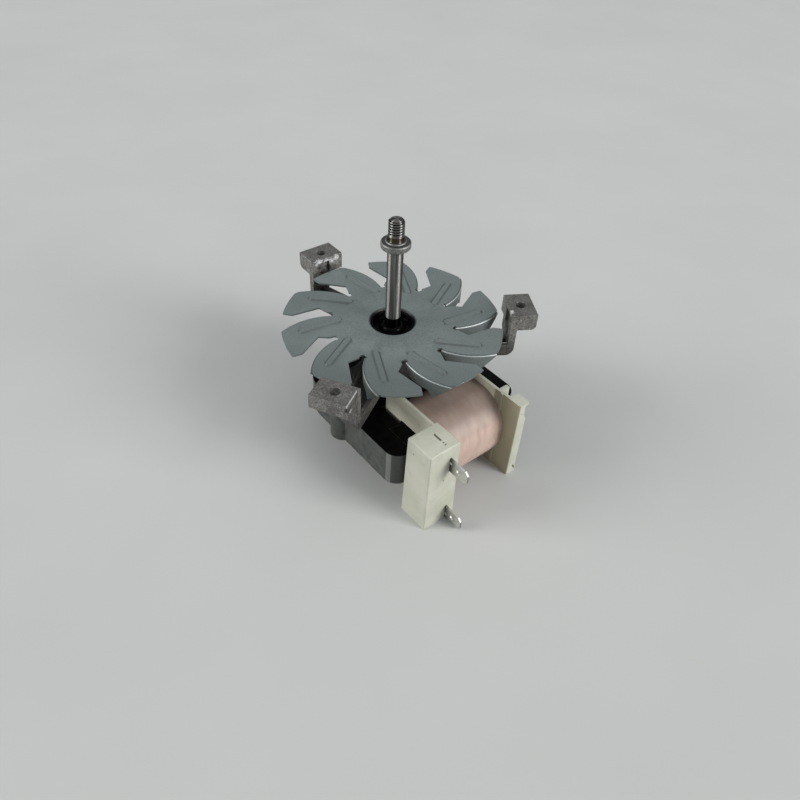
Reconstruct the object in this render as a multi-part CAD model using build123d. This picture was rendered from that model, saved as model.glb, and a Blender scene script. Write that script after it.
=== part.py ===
from build123d import *
import math
import os

# Oven fan motor: a shaded-pole motor on a cast three-legged bracket, with its own cooling fan.
# The origin lies on the shaft's axis, level with the seating faces of the three mounting lugs.
# +Z runs up the shaft to its threaded end, X runs along the coil, and the coil lies towards -Y.

# Shaft
shaft_diameter = 6.0
shaft_reach = 39.2
thread_length = 7.2
neck_length = 1.4
neck_diameter = 4.8
tip_chamfer = 0.8
collar_diameter = 11.2
collar_thickness = 2.6
collar_edge = 0.4
collar_step_radius = 4.0
collar_step_height = 0.5
running_clearance = 0.03

# Cooling fan, pressed from one sheet
blade_count = 10
fan_drop = 5.0
fan_radius = 43.3
fan_sheet = 0.7
fan_turn = 26.1
fan_hole_radius = 8.5
fan_flange_depth = 2.6
fan_hole_bend = 1.2
disc_step_radius = 20.8
disc_step_height = 0.3
disc_step_run = 0.7
relief_radius_out = 25.0
relief_hole_radius = 1.4
fold_radius = 25.4
fold_end_turn = 18.6
fold_bend = 1.0
vane_depth = 7.8
vane_waist = 5.1
rib_width = 3.3
rib_height = 0.5
rib_slope = 55.0
rib_inner_radius = 21.0
rib_outer_radius = 35.4
rib_inner_turn = 8.5
rib_outer_turn = 20.8
gap_round = 1.4
gap_bulge_turn = -6.7
gap_bulge_share = 0.21
gap_rim_turn = 3.8
gap_rim_corner = 3.8

# Fan hub
hub_floor_drop = 3.2
hub_rim_drop = 0.6
hub_wall = 0.8
hub_boss_drop = 0.9
hub_boss_flare = 0.9
hub_shoulder = 1.6
hub_shoulder_height = 1.9
hub_foot_radius = 6.0
hub_boss_radius = 4.3
hub_gap = 0.9
hub_edge = 0.6

# Cast front bracket
bracket_turn = -0.9
fan_gap = 2.7
lug_setback = 5.0
lug_overhang = 5.3
lug_height = 7.0
lug_half_width = 7.4
lug_hole_diameter = 4.2
leg_width = 11.0
leg_thickness = 2.8
leg_flange = 2.6
leg_recess = 1.3
leg_heel = 3.5
leg_tip_width = 1.2
leg_cut_run = 13.0
leg_cut_drop = 3.6
leg_recess_drop = 1.5
lug_toe = 2.0
arm_gap = 1.5
arm_depth = 5.2
arm_width = 6.5
arm_wall = 1.6
arm_floor = 1.7
arm_to_cheek = 1.2
rest_drop = 2.2

# Bearings, the same at both ends
housing_height = 8.0
housing_radius = 12.0
housing_wall = 1.8
pocket_radius = 9.6
throat_radius = 9.0
bush_radius = 6.0
bush_length = 8.6
seat_radius = 4.6
retainer_thickness = 0.5
retainer_drop = 1.75
retainer_notches = 6
thrust_washer_radius = 5.5
thrust_washer_thickness = 1.0

# Rotor
rotor_radius = 12.5
air_gap = 0.4
end_ring_gap = 0.5
end_ring_height = 2.8
end_ring_inner = 7.5
end_ring_outer = 11.0
cage_bars = 14
cage_bar_radius = 0.9

# Laminated core
stack_height = 15.3
pole_bridge = 4.6
back_yoke = 9.6
back_corner = 17.0
arm_iron = 13.4
front_corner = 6.0
limb_iron = 14.7
limb_tongue = 5.0
limb_dovetail = 1.4
ear_radius = 5.1
ear_inset = 2.3
ear_back = 7.0

# Shading rings
shading_wire = 2.0
shading_rise = 2.2
shading_turn = 46.0
shading_span = 9.0
shading_depth = 2.4
shading_clearance = 0.1

# Bobbin and coil
bobbin_half_length = 16.7
bobbin_to_arm = 1.4
cheek_thickness = 1.1
cheek_lip = 1.65
cheek_gap = 0.8
cheek_round = 1.5
tube_wall = 1.2
tube_clearance = 0.2
winding_build = 6.35
winding_round = 13.0
tape_thickness = 0.3

# Terminal block and the channel block on the other cheek
block_overhang = 11.1
block_inset = 2.7
block_gap = 1.7
block_depth = 12.7
block_round = 0.6
block_draft = 1.4
wire_slot_width = 0.9
wire_slot_length = 4.0
wire_slot_depth = 5.0
wire_slot_offset = 2.85
wire_slot_inset = 4.0
wire_pin_radius = 0.4
wire_pin_step = 1.15
channel_inset = 1.0
channel_overhang = 3.9
channel_gap = 2.3
channel_wall = 1.3
channel_post = 1.6
channel_slot = 4.6
channel_rib = 0.5
channel_rib_inset = 2.2
beak_thickness = 1.1
beak_notch = 8.0
notch_width = 1.4

# Spade terminals
tab_height = 6.3
tab_thickness = 0.8
tab_length = 9.4
tab_root = 7.0
tab_taper = 1.5
tab_hole_diameter = 1.8
tab_beside_cheek = 1.1
upper_tab_drop = 8.6
lower_tab_rise = 3.5

# Screws: two through the front bracket's feet into the ears, two through the rear bracket's feet
screw_diameter = 4.0
screw_clearance = 0.2
thread_fit = 0.02
ear_thread_end = 1.2
rear_screw_x = 20.5
rear_screw_depth = 8.0
rear_hole_depth = 9.0
screw_head_radius = 3.8
screw_head_height = 2.6
screw_recess_width = 1.0
screw_recess_depth = 1.1
foot_height = 8.8
rear_foot_radius = 4.2
rear_foot_height = 6.8
link_width = 9.0

# Heights that follow
shaft_radius = shaft_diameter / 2
fan_top = -fan_drop
eye_top = fan_top + disc_step_height
vane_bottom = fan_top - vane_depth
arm_top = vane_bottom - arm_gap
arm_bottom = arm_top - arm_depth
front_face = arm_top - rest_drop
front_rim = front_face - housing_height
ring_top = front_rim - end_ring_gap
core_top = ring_top - end_ring_height
core_bottom = core_top - stack_height
core_middle = (core_top + core_bottom) / 2
base = 2 * core_middle - front_face
rear_rim = base + housing_height
foot_top = core_top + foot_height
rear_foot_bottom = core_bottom - rear_foot_height
leg_cut_top = -lug_height - leg_cut_drop
collar_bottom = shaft_reach - thread_length - neck_length - collar_thickness

# Plan positions that follow
bore_radius = rotor_radius + air_gap
window_edge = -(bore_radius + pole_bridge)
tube_inside = limb_iron / 2 + tube_clearance
winding_half_width = tube_inside + tube_wall + winding_build
winding_half_height = stack_height / 2 + tube_clearance + tube_wall + winding_build
cheek_half_width = winding_half_width + tape_thickness + cheek_lip
cheek_back = window_edge - cheek_gap
limb_centre = cheek_back - cheek_half_width
core_front = limb_centre - limb_iron / 2
core_back = bore_radius + back_yoke
window_half = bobbin_half_length + bobbin_to_arm
core_half = window_half + arm_iron
cheek_inner = bobbin_half_length - cheek_thickness
ear_x = core_half - ear_inset
leg_inner = fan_radius + fan_gap
lug_circle_radius = leg_inner + lug_setback
lug_outer = lug_circle_radius + lug_overhang
leg_outer = leg_inner + leg_thickness
block_back = core_front - block_gap
block_front = block_back - block_depth
channel_back = core_front - channel_gap


def ring(outer, inner, low, high):
    """A plain ring about the shaft's axis."""
    with BuildPart() as made:
        with BuildSketch(Plane.XY.offset(low)):
            Circle(outer)
            Circle(inner, mode=Mode.SUBTRACT)
        extrude(amount=high - low)
    return made.part


def block(x0, x1, y0, y1, z0, z1):
    """A box between two corners."""
    middle = ((x0 + x1) / 2, (y0 + y1) / 2, (z0 + z1) / 2)
    return Pos(*middle) * Box(abs(x1 - x0), abs(y1 - y0), abs(z1 - z0))


def prism(points, low, high):
    """A closed outline of straight edges in plan, raised from low to high."""
    with BuildPart() as made:
        with BuildSketch(Plane.XY.offset(low)):
            with BuildLine():
                Polyline(*points, close=True)
            make_face()
        extrude(amount=high - low)
    return made.part


def turned(points):
    """A solid turned about the shaft's axis from an outline of (radius, height) points."""
    with BuildPart() as made:
        with BuildSketch(Plane.XZ):
            with BuildLine():
                Polyline(*points, close=True)
            make_face()
        revolve(axis=Axis.Z)
    return made.part


def polar(radius, degrees):
    angle = math.radians(degrees)
    return (radius * math.cos(angle), radius * math.sin(angle))


def cylinder_at(x, y, radius, low, high):
    return Pos(x, y, (low + high) / 2) * Cylinder(radius, high - low)


# Cooling fan


def fold_centre():
    """Centre of the arc that each vane is folded along, beside a relief hole on the X axis."""
    start = Vector(*polar(relief_radius_out, 1.0))
    end = Vector(*polar(fan_radius, fold_end_turn))
    chord = end - start
    side = Vector(-chord.Y, chord.X).normalized()
    lift = math.sqrt(fold_radius**2 - (chord.length / 2) ** 2)
    return (start + end) * 0.5 + side * lift, chord.normalized(), side


def vane():
    """One folded-down vane: a bent strip on the fold's arc, cut to the outline of its blank."""
    centre, along, side = fold_centre()
    chord = Vector(*polar(fan_radius, fold_end_turn)) - Vector(*polar(relief_radius_out, 1.0))
    half_chord = chord.length / 2
    opening = math.degrees(math.asin(half_chord / fold_radius))
    inner_bend = fold_bend - fan_sheet
    inside = fold_radius - fold_bend
    middle_turn = math.degrees(math.atan2(-side.Y, -side.X))
    with BuildPart() as strip:
        with BuildSketch(Plane.XZ):
            with BuildLine():
                Line((inside, fan_top - fan_sheet), (inside, fan_top))
                RadiusArc((inside, fan_top), (fold_radius, fan_top - fold_bend), fold_bend)
                Polyline(
                    (fold_radius, fan_top - fold_bend),
                    (fold_radius, vane_bottom),
                    (fold_radius - fan_sheet, vane_bottom),
                    (fold_radius - fan_sheet, fan_top - fold_bend),
                )
                bend_start = (fold_radius - fan_sheet, fan_top - fold_bend)
                RadiusArc(bend_start, (inside, fan_top - fan_sheet), -inner_bend)
            make_face()
        revolve(axis=Axis.Z, revolution_arc=2 * opening)
    placed = Pos(centre.X, centre.Y) * Rot(Z=middle_turn - opening) * strip.part
    waist = fan_top - vane_waist
    blank = [
        (-half_chord - 1.0, fan_top + 1.0),
        (-half_chord - 1.0, fan_top - 1.3),
        (-half_chord, fan_top - 1.3),
        (-0.75 * half_chord, waist),
        (0.18 * half_chord, waist),
        (0.36 * half_chord, vane_bottom),
        (half_chord, fan_top - fold_bend),
        (half_chord + 1.0, fan_top + 1.0),
    ]
    facing = Plane(origin=(centre.X, centre.Y, 0), x_dir=(along.X, along.Y, 0), z_dir=(-side.X, -side.Y, 0))
    with BuildPart() as cutter:
        with BuildSketch(facing):
            with BuildLine():
                Polyline(*blank, close=True)
            make_face()
        extrude(amount=2 * fold_radius)
    return placed & cutter.part


def blank_gap():
    """The opening that each vane leaves in the disc, with the relief hole at its inner end."""
    centre, along, side = fold_centre()
    inside = fold_radius - fold_bend
    beyond = fan_radius + 2 * relief_hole_radius
    bulge = relief_radius_out + gap_bulge_share * (fan_radius - relief_radius_out) + gap_round
    with BuildPart() as made:
        with BuildSketch(Plane.XY.offset(fan_top - 4 * fan_sheet)):
            with BuildLine():
                Polyline(
                    polar(relief_radius_out, 1.0),
                    polar(relief_radius_out + gap_round / 3, -2.0),
                    polar(bulge, gap_bulge_turn),
                    polar(fan_radius - gap_rim_corner, gap_rim_turn + 0.6),
                    polar(fan_radius, gap_rim_turn),
                    polar(beyond, gap_rim_turn),
                    polar(beyond, fold_end_turn + 8.0),
                    polar(relief_radius_out + 2 * relief_hole_radius, fold_end_turn + 8.0),
                    close=True,
                )
            make_face()
            with Locations((centre.X, centre.Y)):
                Circle(inside, mode=Mode.SUBTRACT)
            with Locations((relief_radius_out, 0)):
                Circle(relief_hole_radius)
        extrude(amount=6 * fan_sheet)
    return made.part


def stiffening_rib(base_height, shrink):
    """A long raised bead with sloping sides, standing on the height given."""
    start = Vector(*polar(rib_inner_radius, rib_inner_turn))
    end = Vector(*polar(rib_outer_radius, rib_outer_turn))
    run = end - start
    middle = (start + end) * 0.5
    turn = math.degrees(math.atan2(run.Y, run.X))
    with BuildPart() as made:
        with BuildSketch(Plane.XY.offset(base_height)):
            with Locations(Location((middle.X, middle.Y), turn)):
                SlotOverall(run.length + rib_width - shrink, rib_width - shrink)
        extrude(amount=rib_height, taper=rib_slope)
    return made.part


def cooling_fan():
    """Disc with a raised middle and a rolled flange round its hole, cut and folded into ribbed blades."""
    flange_bottom = fan_top - fan_flange_depth
    bend = fan_hole_bend
    inner = fan_hole_radius + bend
    step = disc_step_radius
    with BuildPart() as pressed:
        with BuildSketch(Plane.XZ):
            with BuildLine():
                RadiusArc((inner, eye_top), (fan_hole_radius, eye_top - bend), -bend)
                Polyline(
                    (fan_hole_radius, eye_top - bend),
                    (fan_hole_radius, flange_bottom),
                    (fan_hole_radius + fan_sheet, flange_bottom),
                    (fan_hole_radius + fan_sheet, eye_top - bend),
                )
                bend_start = (fan_hole_radius + fan_sheet, eye_top - bend)
                RadiusArc(bend_start, (inner, eye_top - fan_sheet), bend - fan_sheet)
                Polyline(
                    (inner, eye_top - fan_sheet),
                    (step - disc_step_run, eye_top - fan_sheet),
                    (step, fan_top - fan_sheet),
                    (fan_radius, fan_top - fan_sheet),
                    (fan_radius, fan_top),
                    (step, fan_top),
                    (step - disc_step_run, eye_top),
                    (inner, eye_top),
                )
            make_face()
        revolve(axis=Axis.Z)
    gap = blank_gap()
    folded = vane()
    bead = stiffening_rib(fan_top, 0.0)
    hollow = stiffening_rib(fan_top - fan_sheet, 0.85 * fan_sheet)
    turns = [360 / blade_count * k for k in range(blade_count)]
    plate = pressed.part - [Rot(Z=t) * gap for t in turns]
    plate = plate + [Rot(Z=t) * folded for t in turns]
    plate = plate + [Rot(Z=t) * bead for t in turns]
    plate = plate - [Rot(Z=t) * hollow for t in turns]
    return Rot(Z=fan_turn) * plate


def fan_hub():
    """Moulded hub: a cup that plugs the fan's flange, seats under it and grips the shaft."""
    floor = fan_top - hub_floor_drop
    rim = fan_top - hub_rim_drop
    seat = fan_top - fan_flange_depth
    foot = front_face + hub_gap
    boss_top = fan_top - hub_boss_drop
    waist = floor - hub_shoulder_height
    shoulder = fan_hole_radius + hub_shoulder
    points = [
        (shaft_radius, boss_top),
        (hub_boss_radius - hub_edge, boss_top),
        (hub_boss_radius, boss_top - hub_edge),
        (hub_boss_radius + hub_boss_flare, floor),
        (fan_hole_radius - hub_wall, floor),
        (fan_hole_radius - hub_wall, rim),
        (fan_hole_radius, rim),
        (fan_hole_radius, seat),
        (shoulder, seat),
        (shoulder, waist),
        (hub_foot_radius, foot + hub_gap),
        (hub_foot_radius, foot),
        (shaft_radius, foot),
    ]
    return turned(points)


# Shaft and rotor


def shaft():
    thread_start = shaft_reach - thread_length
    neck_start = thread_start - neck_length
    low = base + 1.2
    points = [
        (0, low),
        (shaft_radius - 0.5, low),
        (shaft_radius, low + 0.5),
        (shaft_radius, neck_start),
        (neck_diameter / 2, neck_start),
        (neck_diameter / 2, thread_start),
        (shaft_radius, thread_start),
        (shaft_radius, shaft_reach - tip_chamfer),
        (shaft_radius - tip_chamfer, shaft_reach),
        (0, shaft_reach),
    ]
    return turned(points)


def shaft_collar():
    """Pressed ring that the driven wheel seats on, with a low step at its mouth."""
    top = collar_bottom + collar_thickness
    outer = collar_diameter / 2
    points = [
        (shaft_radius, collar_bottom),
        (outer - collar_edge, collar_bottom),
        (outer, collar_bottom + collar_edge),
        (outer, top - collar_edge),
        (outer - collar_edge, top),
        (collar_step_radius, top),
        (collar_step_radius - collar_edge, top + collar_step_height),
        (shaft_radius, top + collar_step_height),
    ]
    return turned(points)


def bar_places():
    reach = end_ring_outer - cage_bar_radius - 0.1
    return [polar(reach, 360 / cage_bars * k) for k in range(cage_bars)]


def rotor_core():
    stack = ring(rotor_radius, shaft_radius, core_bottom, core_top)
    return stack - [cylinder_at(x, y, cage_bar_radius, core_bottom - 1, core_top + 1) for x, y in bar_places()]


def rotor_cage():
    """Cast cage: two end rings joined by bars through the rotor's stack."""
    upper = ring(end_ring_outer, end_ring_inner, core_top, core_top + end_ring_height)
    lower = ring(end_ring_outer, end_ring_inner, core_bottom - end_ring_height, core_bottom)
    bars = [cylinder_at(x, y, cage_bar_radius, core_bottom - 1, core_top + 1) for x, y in bar_places()]
    return upper + lower + bars


def thrust_washer(side):
    """A washer on the shaft against the rotor's stack; side is 1 in front and -1 behind."""
    washer = ring(thrust_washer_radius, shaft_radius, core_top, core_top + thrust_washer_thickness)
    return washer if side > 0 else about_middle(washer)


def about_middle(part):
    """The same piece at the other end of the core."""
    return mirror(part, Plane.XY.offset(core_middle))


# Bearings


def bush_centre():
    return front_face - housing_wall - math.sqrt(bush_radius**2 - seat_radius**2)


def bearing_bush():
    """Self-aligning sintered bush: a ball cut flat at both ends, bored for the shaft."""
    middle = bush_centre()
    ball = Pos(0, 0, middle) * Sphere(bush_radius)
    ends = cylinder_at(0, 0, bush_radius + 1, middle - bush_length / 2, middle + bush_length / 2)
    bore = cylinder_at(0, 0, shaft_radius + running_clearance, middle - bush_length, middle + bush_length)
    return (ball & ends) - bore


def oil_felt():
    middle = bush_centre()
    return ring(pocket_radius, bush_radius + 0.02, middle, front_face - housing_wall)


def bush_retainer():
    """Spring washer with notched fingers, pressed into the pocket under the bush."""
    top = bush_centre() - retainer_drop
    hole = math.sqrt(bush_radius**2 - retainer_drop**2)
    washer = ring(pocket_radius, hole, top - retainer_thickness, top)
    notch = block(0, (hole + pocket_radius) / 2, -0.6, 0.6, top - 2 * retainer_thickness, top + retainer_thickness)
    return washer - [Rot(Z=360 / retainer_notches * k) * notch for k in range(retainer_notches)]


def bearing_housing():
    """Turned form of the housing; its pocket opens towards the rotor."""
    points = [
        (seat_radius, front_face),
        (housing_radius, front_face),
        (housing_radius, front_rim),
        (pocket_radius, front_rim),
        (pocket_radius, front_face - housing_wall),
        (seat_radius, front_face - housing_wall),
    ]
    return turned(points)


def bearing_room(mouth_radius, high):
    """The space that the housing's walls enclose, kept clear of arms and links."""
    pocket = cylinder_at(0, 0, pocket_radius, front_rim - 1, front_face - housing_wall)
    mouth = cylinder_at(0, 0, seat_radius, front_face - housing_wall - 1, front_face + 1)
    throat = cylinder_at(0, 0, mouth_radius, front_face, high)
    return [pocket, mouth, throat]


# Brackets


def foot_link(x, low, high):
    """Flat web from the bearing housing to the screw's foot on one side."""
    reach = Vector(x, -ear_back)
    turn = math.degrees(math.atan2(reach.Y, reach.X))
    web = block(0, reach.length, -link_width / 2, link_width / 2, low, high)
    return Rot(Z=turn) * web


def lower_corner(x, z, radius):
    """Waste outside a rounded lower corner that runs across an arm."""
    waste = block(x - radius, x + 1, -lug_outer, lug_outer, z - 1, z + radius)
    core = Pos(x - radius, 0, z + radius) * Rot(X=90) * Cylinder(radius, 2 * lug_outer)
    return waste - core


def leg_waste(near, far, waist):
    """Waste below the lug, on the far side of the slanting plane that narrows the leg and the arm's end."""
    top = Vector(leg_outer, far, leg_cut_top)
    foot = Vector(leg_outer, near - leg_tip_width, arm_bottom)
    inner = Vector(leg_outer - leg_cut_run, waist - 1.0, arm_bottom)
    normal = (foot - top).cross(inner - top).normalized()
    if normal.Y > 0:
        normal = normal * -1
    room = 2 * lug_outer
    beyond = Box(room, room, room, align=(Align.CENTER, Align.CENTER, Align.MIN))
    cut = Plane(origin=top, x_dir=foot - top, z_dir=normal) * beyond
    return cut & block(0, lug_outer + 1, -lug_outer, lug_outer, arm_bottom - 1, leg_cut_top)


def leg_recess_outline(near, far):
    """Recess in the leg's inner face, across and up: upright sides, and a slanting one beside the cut."""
    slope = (near - leg_tip_width - far) / (arm_bottom - leg_cut_top)
    left = far + leg_flange
    right = near - leg_flange
    foot = right - leg_tip_width
    shoulder = leg_cut_top + leg_flange
    low = shoulder + (foot - left) / slope
    top = -leg_recess_drop
    return [(left, top), (left, shoulder), (foot, low), (right, low), (right, top)]


def bracket_arm(angle, flush):
    """One arm with its leg and lug. The leg is flush with the lug's side that flush points to."""
    lean = math.radians(30 + flush * bracket_turn)
    across = math.cos(lean) * -cheek_back - math.sin(lean) * bobbin_half_length
    root = across - arm_to_cheek
    near = lug_half_width
    far = near - leg_width
    waist = near - arm_width
    hub_end = housing_radius - 1.0
    middle = (hub_end + leg_inner) / 2
    bay = leg_inner + leg_recess
    plan = [(hub_end, root), (leg_outer, near), (leg_outer, waist), (middle, -0.7 * root), (hub_end, -root)]
    arm = prism(plan, arm_bottom, arm_top)
    trough = [
        (hub_end - 1, root - arm_wall),
        (bay, near - arm_wall),
        (bay, waist + arm_wall),
        (middle, arm_wall - 0.7 * root),
        (hub_end - 1, arm_wall - root),
    ]
    leg = block(leg_inner, leg_outer, far, near, arm_bottom, 0)
    lug = block(leg_inner, lug_outer, -near, near, -lug_height, 0)
    solid = arm + leg + lug
    solid = solid - leg_waste(near, far, waist)
    solid = solid - prism(trough, arm_bottom + arm_floor, arm_top)
    with BuildPart() as recess:
        with BuildSketch(Plane.YZ.offset(leg_inner - 1)):
            with BuildLine():
                Polyline(*leg_recess_outline(near, far), close=True)
            make_face()
        extrude(amount=1 + leg_recess)
    solid = solid - recess.part
    solid = solid - lower_corner(leg_outer, arm_bottom, leg_heel) - lower_corner(lug_outer, -lug_height, lug_toe)
    solid = solid - cylinder_at(lug_circle_radius, 0, lug_hole_diameter / 2, -lug_height - 1, 1)
    if flush < 0:
        solid = mirror(solid, Plane.XZ)
    return Rot(Z=angle + bracket_turn) * solid


def front_bracket():
    arms = [bracket_arm(90, 1), bracket_arm(210, 1), bracket_arm(330, -1)]
    solid = bearing_housing() + ring(housing_radius, throat_radius, front_face, arm_top) + arms
    for side in (-1, 1):
        foot = cylinder_at(side * ear_x, -ear_back, ear_radius, core_top, foot_top)
        solid = solid + foot + foot_link(side * ear_x, front_rim, foot_top)
    solid = solid - bearing_room(throat_radius, arm_top + 1)
    for side in (-1, 1):
        solid = solid - screw_hole(side * ear_x, screw_clearance, core_top - 1, foot_top + 1)
        head_room = cylinder_at(side * ear_x, -ear_back, screw_head_radius + 0.4, foot_top, arm_top + 1)
        solid = solid - head_room
    return solid


def rear_bracket():
    """Rear bearing housing with a web and a foot on each side, inboard of the ears."""
    solid = about_middle(bearing_housing())
    for side in (-1, 1):
        x = side * rear_screw_x
        foot = cylinder_at(x, -ear_back, rear_foot_radius, rear_foot_bottom, core_bottom)
        solid = solid + foot + foot_link(x, rear_foot_bottom, rear_rim)
    solid = solid - [about_middle(room) for room in bearing_room(housing_radius, front_face + 1)]
    for side in (-1, 1):
        solid = solid - screw_hole(side * rear_screw_x, screw_clearance, rear_foot_bottom - 1, core_bottom + 1)
    return solid


def screw_hole(x, room, low, high):
    return cylinder_at(x, -ear_back, screw_diameter / 2 + room, low, high)


def pan_screw(x, seat, way, length):
    """Pan-head screw with a cross recess; way is 1 with its head up and -1 with its head down."""
    height = screw_head_height
    shank = Cylinder(screw_diameter / 2, length, align=(Align.CENTER, Align.CENTER, Align.MAX))
    head = Cylinder(screw_head_radius, height, align=(Align.CENTER, Align.CENTER, Align.MIN))
    head = fillet(head.edges().sort_by(Axis.Z)[-1:], 0.35 * height)
    arm = 1.3 * screw_head_radius
    cross = [
        Pos(0, 0, height) * Box(arm, screw_recess_width, 2 * screw_recess_depth),
        Pos(0, 0, height) * Box(screw_recess_width, arm, 2 * screw_recess_depth),
    ]
    tilt = Rot(X=0) if way > 0 else Rot(X=180)
    return Pos(x, -ear_back, seat) * tilt * (shank + head - cross)


def bracket_screw(side):
    """Through the front bracket's foot into the core's ear."""
    return pan_screw(side * ear_x, foot_top, 1, foot_top - core_bottom - ear_thread_end)


def rear_screw(side):
    """Through the rear bracket's foot into the core from behind."""
    return pan_screw(side * rear_screw_x, rear_foot_bottom, -1, rear_foot_height + rear_screw_depth)


# Laminated core and coil


def tongue_outline(side):
    """Dovetail end of the coil's limb, and its seat in the arm."""
    root = side * window_half
    tip = side * (window_half + limb_tongue)
    half = limb_iron / 2 - limb_dovetail
    wide = half + 0.6 * limb_dovetail
    return [
        (root - side, limb_centre - half),
        (root, limb_centre - half),
        (tip, limb_centre - wide),
        (tip, limb_centre + wide),
        (root, limb_centre + half),
        (root - side, limb_centre + half),
    ]


def stator_core():
    """Two arms joined behind the rotor, a bored pole body between them, and an ear on each side."""
    with BuildPart() as made:
        with BuildSketch(Plane.XY.offset(core_bottom)):
            with Locations((0, (core_front + core_back) / 2)):
                Rectangle(2 * core_half, core_back - core_front)
        extrude(amount=stack_height)
        uprights = made.edges().filter_by(Axis.Z)
        fillet(uprights.sort_by(Axis.Y)[0:2], front_corner)
        uprights = made.edges().filter_by(Axis.Z)
        fillet(uprights.sort_by(Axis.Y)[-2:], back_corner)
    solid = made.part
    solid = solid - block(-window_half, window_half, core_front - 1, window_edge, core_bottom - 1, core_top + 1)
    for side in (-1, 1):
        solid = solid + cylinder_at(side * ear_x, -ear_back, ear_radius, core_bottom, core_top)
    for side in (-1, 1):
        solid = solid - screw_hole(side * ear_x, thread_fit, core_bottom - 1, core_top + 1)
        solid = solid - screw_hole(side * rear_screw_x, thread_fit, core_bottom - 1, core_bottom + rear_hole_depth)
        solid = solid - prism(tongue_outline(side), core_bottom - 1, core_top + 1)
    solid = solid - cylinder_at(0, 0, bore_radius, core_bottom - 1, core_top + 1)
    for turn in (0, 180):
        solid = solid - Rot(Z=turn) * shading_slots()
    return solid


def coil_limb():
    """Straight limb through the coil, with a dovetail at each end."""
    low = limb_centre - limb_iron / 2
    high = limb_centre + limb_iron / 2
    limb = block(-window_half, window_half, low, high, core_bottom, core_top)
    ends = [prism(tongue_outline(side), core_bottom, core_top) for side in (-1, 1)]
    return limb + ends


def shading_middle():
    """Middle of one shading ring in plan, and the way the ring faces."""
    return bore_radius + shading_depth, shading_turn


def shading_leg(offset, grow):
    radius, turn = shading_middle()
    half = shading_wire / 2 + grow
    leg = block(radius - half, radius + half, offset - half, offset + half, core_bottom - 5, core_top + 5)
    return Rot(Z=turn) * leg


def shading_slots():
    """Slots through one pole for the two legs of its ring, and the saw cut to the bore."""
    legs = [shading_leg(s * shading_span / 2, shading_clearance) for s in (-1, 1)]
    radius, turn = shading_middle()
    cut = block(bore_radius - 2, radius, -0.6, 0.6, core_bottom - 5, core_top + 5)
    shift = shading_span / 2
    return legs[0] + legs[1] + Rot(Z=turn) * Pos(0, shift, 0) * cut


def shading_ring(turn_by):
    """Closed copper loop round one pole's tip."""
    radius, turn = shading_middle()
    half = shading_wire / 2
    outer = shading_span / 2 + half
    inner = shading_span / 2 - half
    low = core_bottom - shading_rise
    high = core_top + shading_rise
    hoop = block(radius - half, radius + half, -outer, outer, low, high)
    hole = block(radius - 5, radius + 5, -inner, inner, core_bottom - 0.1, core_top + 0.1)
    hoop = hoop - hole
    hoop = fillet(hoop.edges().filter_by(Axis.X).sort_by(Axis.Z)[0:2], 1.2)
    hoop = fillet(hoop.edges().filter_by(Axis.X).sort_by(Axis.Z)[-2:], 1.2)
    return Rot(Z=turn + turn_by) * hoop


def tube_section(half_y, half_z, round_by, x0, x1):
    """A bar along X with a rounded section, centred on the coil's limb."""
    with BuildPart() as made:
        with BuildSketch(Plane.YZ.offset(x0)):
            with Locations((limb_centre, core_middle)):
                RectangleRounded(2 * half_y, 2 * half_z, round_by)
        extrude(amount=x1 - x0)
    return made.part


def coil_winding():
    outer = tube_section(winding_half_width, winding_half_height, winding_round, -cheek_inner, cheek_inner)
    half_y = tube_inside + tube_wall
    half_z = stack_height / 2 + tube_clearance + tube_wall
    return outer - tube_section(half_y, half_z, 1.0, -cheek_inner - 1, cheek_inner + 1)


def coil_tape():
    half_y = winding_half_width + tape_thickness
    half_z = winding_half_height + tape_thickness
    outer = tube_section(half_y, half_z, winding_round + tape_thickness, -cheek_inner, cheek_inner)
    inner = tube_section(winding_half_width, winding_half_height, winding_round, -cheek_inner - 1, cheek_inner + 1)
    return outer - inner


def tab_seats():
    """Middle height of each spade terminal."""
    return {"upper": front_face - upper_tab_drop, "lower": base + lower_tab_rise}


def tab_middle():
    return -(bobbin_half_length + tab_beside_cheek + tab_thickness / 2)


def terminal_block():
    """Upright housing beside the left cheek; its outer and front walls lean outwards by the mould's draft."""
    outer = -(bobbin_half_length + block_overhang)
    inner = -(bobbin_half_length - block_inset)
    spare = block_depth
    with BuildPart() as made:
        with BuildSketch(Plane.XY.offset(front_face)):
            with Locations(((outer + inner + spare) / 2, (block_front + block_back + spare) / 2)):
                Rectangle(inner - outer + spare, block_depth + spare)
        extrude(amount=base - front_face, taper=-block_draft)
    limits = block(outer - spare, inner, block_front - spare, block_back, base, front_face)
    housing = made.part & limits
    sloping = housing.edges().filter_by(lambda e: e.bounding_box().size.Z > 0.9 * (front_face - base))
    housing = fillet(sloping, block_round)
    housing = fillet(housing.edges().group_by(Axis.Z)[-1], block_round)
    left = -(bobbin_half_length + wire_slot_offset)
    back = block_back - wire_slot_inset
    floor = front_face - wire_slot_depth
    slot = block(left, left + wire_slot_width, back - wire_slot_length, back, floor, front_face + 1)
    front = back - wire_slot_length
    middle = left + wire_slot_width / 2
    places = [front - k * wire_pin_step for k in (1, 2)]
    pins = [cylinder_at(middle, place, wire_pin_radius, floor, front_face + 1) for place in places]
    return housing - slot - pins


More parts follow.
